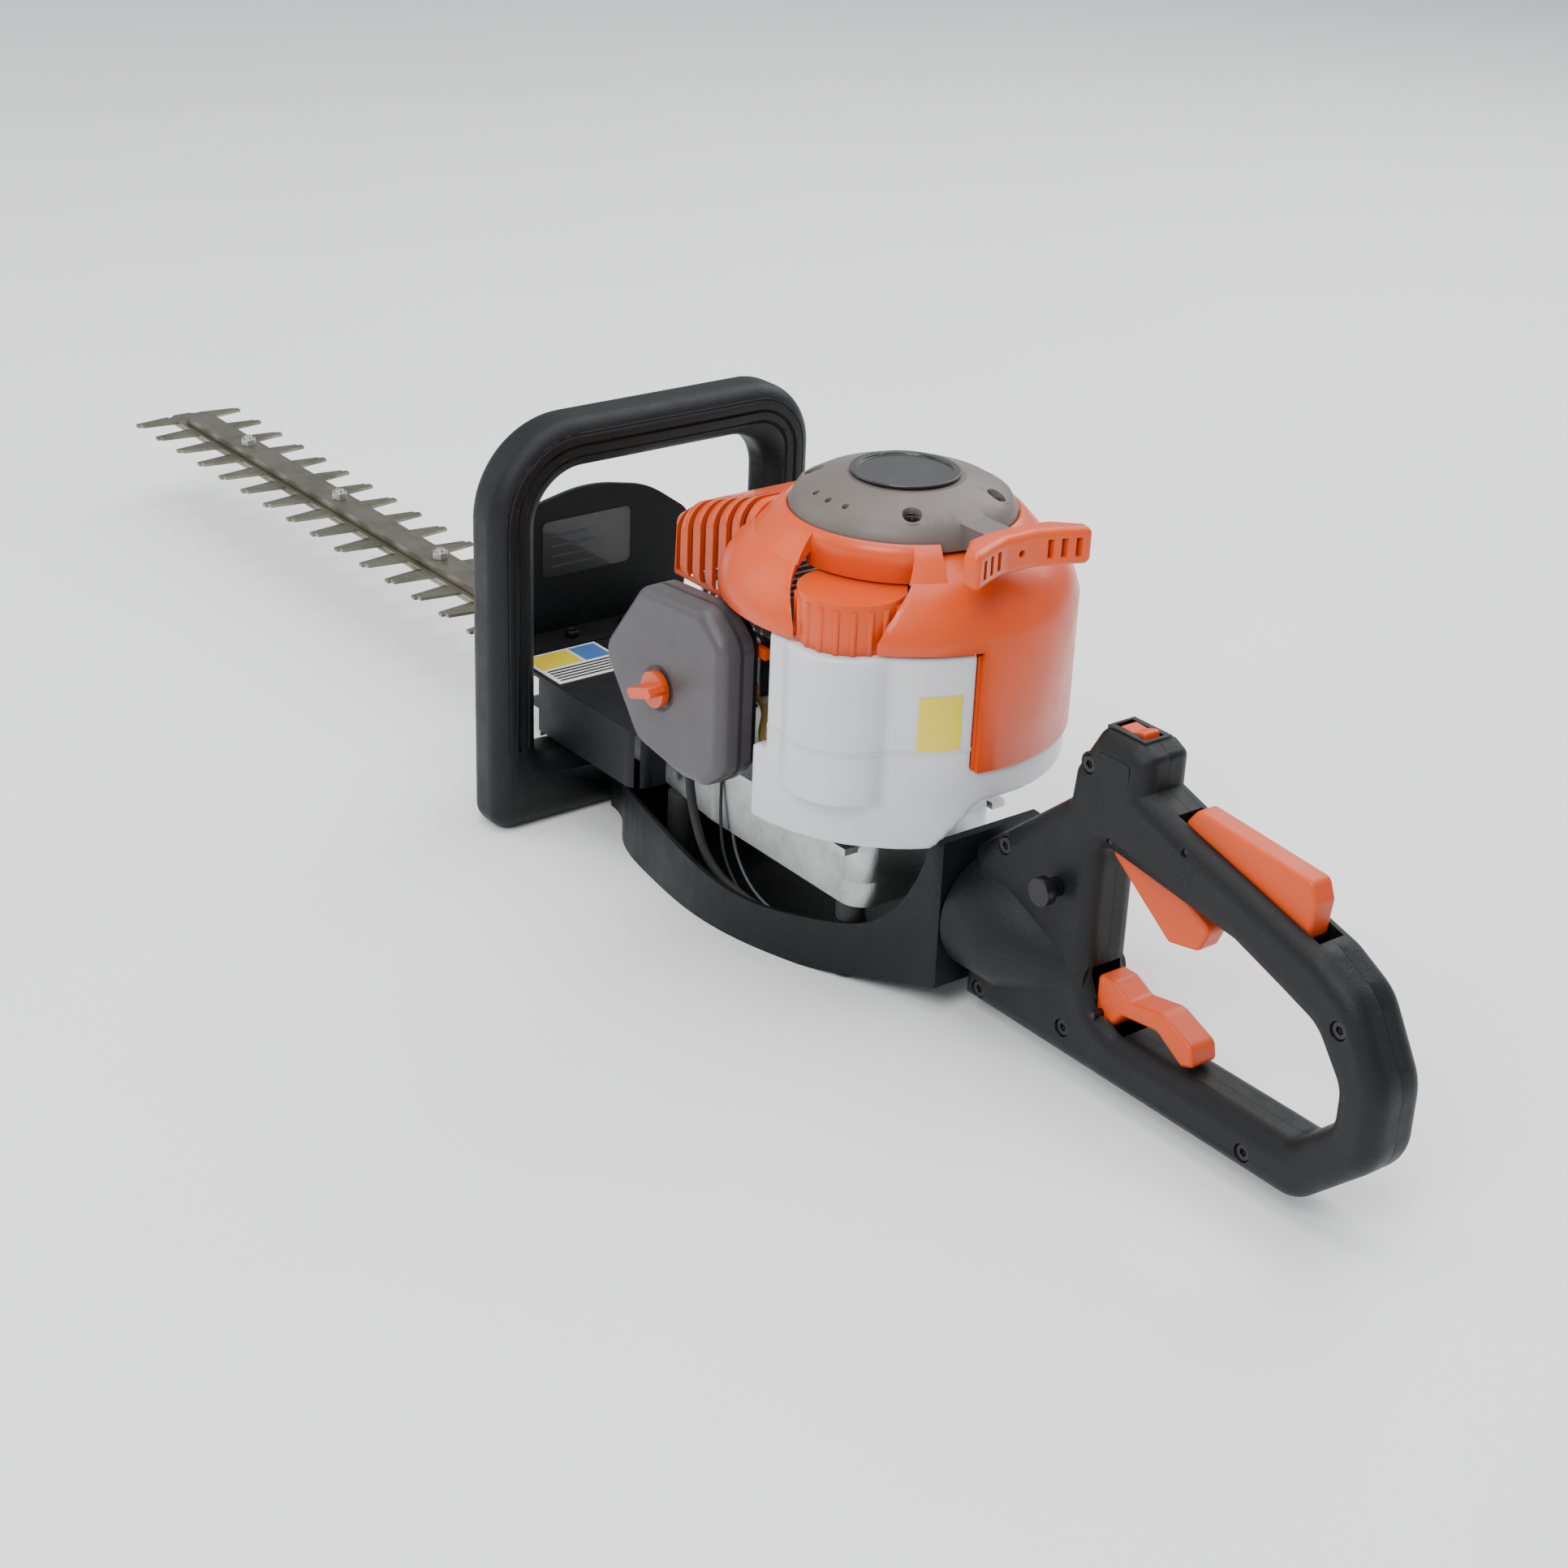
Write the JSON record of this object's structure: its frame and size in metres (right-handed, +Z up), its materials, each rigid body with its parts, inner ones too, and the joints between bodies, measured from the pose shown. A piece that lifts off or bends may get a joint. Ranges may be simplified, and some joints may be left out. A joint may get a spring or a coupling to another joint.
{
  "type": "hedge trimmer",
  "caption": "Petrol hedge trimmer with a double-sided reciprocating blade, a front loop handle, a guard and a swivelling rear handle.",
  "frame": {"origin": "on the floor under the front handle, on the middle plane", "axes": "+X from the blade to the rear handle, +Z up, and +Y to the operator's right"},
  "size_m": [1.2379, 0.231, 0.2745],
  "materials": {
    "orange_shell": "moulded, smooth",
    "black_plastic": "moulded, fine grain",
    "grey_cover": "moulded, fine grain",
    "dark_grey_plastic": "moulded, fine grain",
    "translucent_tank": "translucent, semi-gloss",
    "blade_steel": "ground and oiled",
    "plain_steel": "machined",
    "black_steel": "blackened",
    "cast_aluminium": "as cast",
    "soft_rubber": "matt",
    "filter_foam": "open-cell foam",
    "fuel_hose": "smooth hose",
    "bulb_rubber": "clear soft plastic",
    "rope_cord": "braided",
    "ceramic": "glazed"
  },
  "bodies": {
    "frame": {"cradle": "black_plastic", "front_handle": "black_plastic", "hand_guard": "black_plastic", "gear_case_lower": "cast_aluminium", "gear_case_upper": "cast_aluminium", "gear_case_cover": "black_plastic", "machine_screws": "plain_steel", "guide_bar": "blade_steel", "blade_bolts": "plain_steel", "blade_nuts": "plain_steel", "shaft_bearings": "plain_steel", "clutch_housing": "black_plastic", "crankcase": "cast_aluminium", "cylinder": "cast_aluminium", "spark_plug": "ceramic", "spark_plug_boot": "soft_rubber", "ignition_coil": "soft_rubber", "muffler": "black_steel", "muffler_guard": "black_steel", "intake_insulator": "black_plastic", "carburettor": "cast_aluminium", "air_box": "black_plastic", "air_filter_element": "filter_foam", "engine_shroud": "orange_shell", "cylinder_cover": "orange_shell", "starter_cover": "grey_cover", "starter_badge": "black_plastic", "fuel_tank": "translucent_tank", "fuel_line": "fuel_hose", "av_mounts": "soft_rubber", "throttle_cable": "soft_rubber", "swivel_ring": "black_plastic"},
    "upper_blade": {"upper_blade": "blade_steel"},
    "lower_blade": {"lower_blade": "blade_steel"},
    "crank_gear": {"crank_gear": "plain_steel"},
    "clutch_drum": {"clutch_drum": "plain_steel"},
    "crankshaft": {"crankshaft": "plain_steel", "flywheel": "cast_aluminium", "clutch_shoes": "plain_steel"},
    "piston": {"piston": "cast_aluminium", "connecting_rod": "plain_steel"},
    "starter_pulley": {"starter_pulley": "black_plastic"},
    "starter_handle": {"starter_handle": "orange_shell", "starter_rope": "rope_cord"},
    "fuel_cap": {"fuel_cap": "orange_shell"},
    "air_filter_cover": {"air_filter_cover": "dark_grey_plastic"},
    "filter_knob": {"filter_knob": "orange_shell"},
    "choke_lever": {"choke_lever": "orange_shell"},
    "primer_bulb": {"primer_bulb": "bulb_rubber"},
    "throttle_lever": {"throttle_lever": "black_steel"},
    "rear_handle": {"rear_handle_left": "black_plastic", "rear_handle_right": "black_plastic", "rear_handle_screws": "plain_steel", "lever_pins": "plain_steel", "switch_body": "black_plastic"},
    "trigger": {"trigger": "orange_shell"},
    "lockout_lever": {"lockout_lever": "orange_shell"},
    "swivel_latch": {"swivel_latch": "orange_shell"},
    "stop_switch": {"stop_switch": "orange_shell"},
    "throttle_lock_button": {"throttle_lock_button": "orange_shell"}
  },
  "joints": [
    {"name": "upper_blade_slide", "type": "slide", "parent": "frame", "child": "upper_blade", "axis": [1, 0, 0], "range_m": [-0.008, 0.008]},
    {"name": "lower_blade_slide", "type": "slide", "parent": "frame", "child": "lower_blade", "axis": [1, 0, 0], "range_m": [-0.008, 0.008]},
    {"name": "crank_gear_spin", "type": "hinge", "parent": "frame", "child": "crank_gear", "pos_m": [0.1945, 0, 0.068], "axis": [0, 0, 1], "continuous": true},
    {"name": "clutch_drum_spin", "type": "hinge", "parent": "frame", "child": "clutch_drum", "pos_m": [0.235, 0, 0.068], "axis": [0, 0, 1], "continuous": true},
    {"name": "crankshaft_spin", "type": "hinge", "parent": "frame", "child": "crankshaft", "pos_m": [0.235, 0, 0.152], "axis": [0, 0, 1], "continuous": true},
    {"name": "piston_slide", "type": "slide", "parent": "frame", "child": "piston", "axis": [1, 0, 0], "range_m": [-0.026, 0]},
    {"name": "starter_pulley_spin", "type": "hinge", "parent": "frame", "child": "starter_pulley", "pos_m": [0.235, 0, 0.2515], "axis": [0, 0, 1], "range_deg": [0, 1109]},
    {"name": "starter_pull", "type": "slide", "parent": "frame", "child": "starter_handle", "axis": [1, 0, 0], "range_m": [0, 0.6]},
    {"name": "fuel_cap_turn", "type": "hinge", "parent": "frame", "child": "fuel_cap", "pos_m": [0.271, -0.061, 0.207], "axis": [0, 0, 1], "range_deg": [0, 360]},
    {"name": "filter_cover_removal", "type": "slide", "parent": "frame", "child": "air_filter_cover", "axis": [0, -1, 0], "range_m": [0, 0.06]},
    {"name": "filter_knob_turn", "type": "hinge", "parent": "air_filter_cover", "child": "filter_knob", "pos_m": [0.167, -0.105, 0.15], "axis": [0, -1, 0], "continuous": true},
    {"name": "choke_lever_turn", "type": "hinge", "parent": "frame", "child": "choke_lever", "pos_m": [0.208, -0.078, 0.159], "axis": [0, 1, 0], "range_deg": [0, 35]},
    {"name": "primer_press", "type": "slide", "parent": "frame", "child": "primer_bulb", "axis": [0, 0, 1], "range_m": [0, 0.004], "stiffness_N_per_m": 800, "springref_m": -0.0002},
    {"name": "throttle_lever_turn", "type": "hinge", "parent": "frame", "child": "throttle_lever", "pos_m": [0.13, -0.057, 0.152], "axis": [1, 0, 0], "range_deg": [0, 45]},
    {"name": "rear_handle_turn", "type": "hinge", "parent": "frame", "child": "rear_handle", "pos_m": [0.324, 0, 0.058], "axis": [1, 0, 0], "range_deg": [-90, 90]},
    {"name": "trigger_pull", "type": "hinge", "parent": "rear_handle", "child": "trigger", "pos_m": [0.422, 0, 0.142], "axis": [0, -1, 0], "range_deg": [0, 14], "stiffness_Nm_per_rad": 0.6, "springref_deg": -17.19},
    {"name": "lockout_press", "type": "hinge", "parent": "rear_handle", "child": "lockout_lever", "pos_m": [0.471, 0, 0.157], "axis": [0, 1, 0], "range_deg": [0, 7], "stiffness_Nm_per_rad": 0.6, "springref_deg": -17.19},
    {"name": "latch_pull", "type": "hinge", "parent": "rear_handle", "child": "swivel_latch", "pos_m": [0.421, 0, 0.044], "axis": [0, -1, 0], "range_deg": [0, 10], "stiffness_Nm_per_rad": 0.6, "springref_deg": -17.19},
    {"name": "stop_switch_rock", "type": "hinge", "parent": "rear_handle", "child": "stop_switch", "pos_m": [0.419, 0, 0.192], "axis": [0, 1, 0], "range_deg": [0, 12]},
    {"name": "lock_button_press", "type": "slide", "parent": "rear_handle", "child": "throttle_lock_button", "axis": [0, 1, 0], "range_m": [0, 0.003], "stiffness_N_per_m": 600, "springref_m": -0.0003}
  ],
  "couplings": [
    {"joint": "lower_blade_slide", "follows": "upper_blade_slide", "ratio": -1},
    {"joint": "clutch_drum_spin", "follows": "crank_gear_spin", "ratio": -3.5},
    {"joint": "starter_pull", "follows": "starter_pulley_spin", "m_per_rad": 0.031},
    {"joint": "throttle_lever_turn", "follows": "trigger_pull", "ratio": 3}
  ]
}
